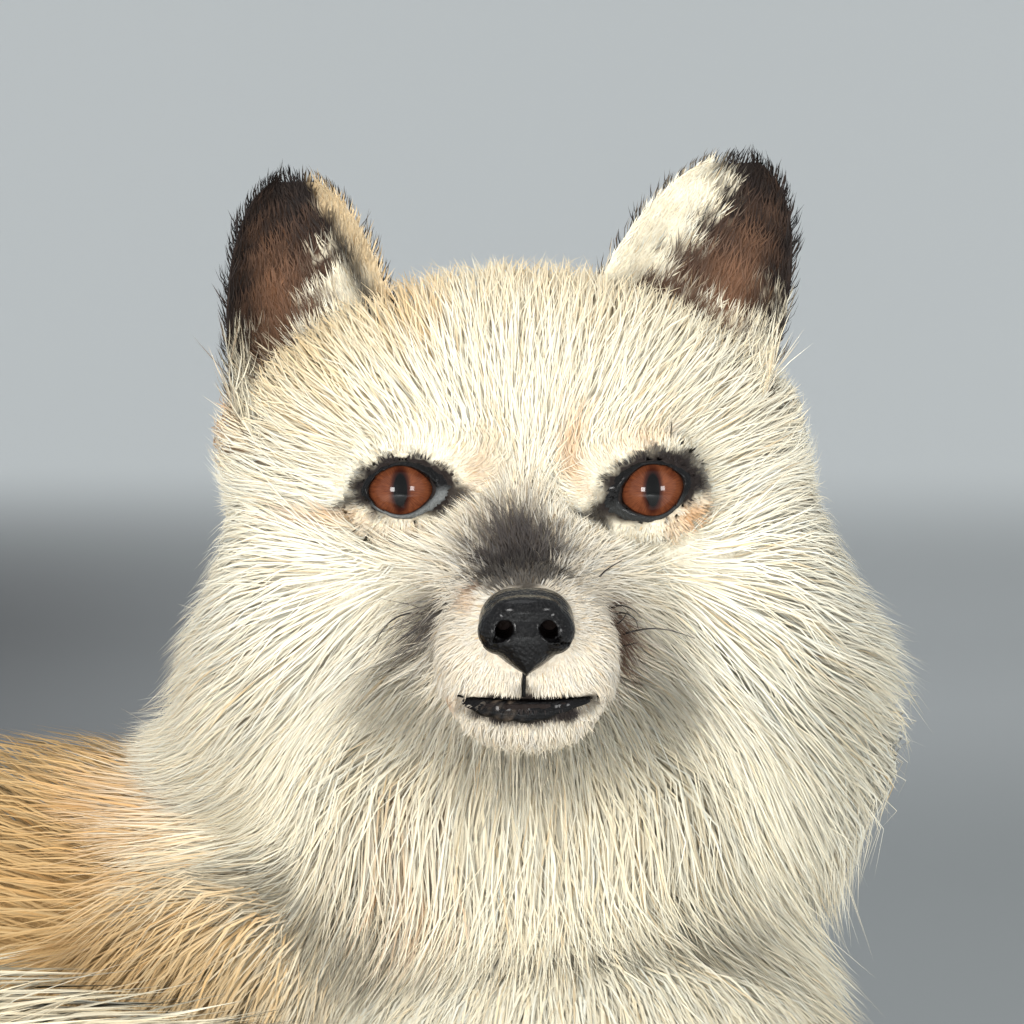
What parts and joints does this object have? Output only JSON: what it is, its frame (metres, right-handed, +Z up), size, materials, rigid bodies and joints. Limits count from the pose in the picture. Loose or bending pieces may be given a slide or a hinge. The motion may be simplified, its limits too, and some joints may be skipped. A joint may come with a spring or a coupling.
{
  "type": "taxidermy fox",
  "caption": "Still, life-size fox mount lying curled on its belly, head raised, with a pale ruff, golden back, glass eyes and a brush wrapped in front.",
  "frame": {"origin": "middle of the footprint, on the surface that the fox lies on", "axes": "+Z up; the face looks along -Y; +X is the fox's own left, along the length of the body"},
  "size_m": [0.5352, 0.4304, 0.3134],
  "materials": {
    "face_fur": "short soft fur, cream white with golden and charcoal markings",
    "ruff_fur": "long silky fur, cream white",
    "body_fur": "dense golden tan fur lying flat",
    "brush_fur": "long fluffy pale fur",
    "ear_fur": "short dark brown fur with pale edges",
    "paw_fur": "short brown fur",
    "nose_leather": "moist grained leather, semi-gloss",
    "glass_eye": "polished glass over an orange brown iris",
    "lid_rim": "bare dark rims, semi-gloss",
    "claw_horn": "dark horn, semi-gloss",
    "whisker": "stiff dark hair"
  },
  "bodies": {
    "root": {"head": "face_fur", "muzzle": "face_fur", "jaw": "face_fur", "nose": "nose_leather", "eye_right": "glass_eye", "eye_left": "glass_eye", "ear_right": "ear_fur", "ear_left": "ear_fur", "neck": "ruff_fur", "chest": "body_fur", "belly": "body_fur", "rump": "body_fur", "upper_arm_right": "body_fur", "upper_arm_left": "body_fur", "forearm_right": "body_fur", "forearm_left": "body_fur", "forepaw_right": "paw_fur", "forepaw_left": "paw_fur", "thigh_right": "body_fur", "thigh_left": "body_fur", "hock_right": "body_fur", "hock_left": "body_fur", "hindpaw_right": "paw_fur", "hindpaw_left": "paw_fur", "tail_root": "brush_fur", "tail_middle": "brush_fur", "tail_tip": "brush_fur"}
  },
  "joints": []
}
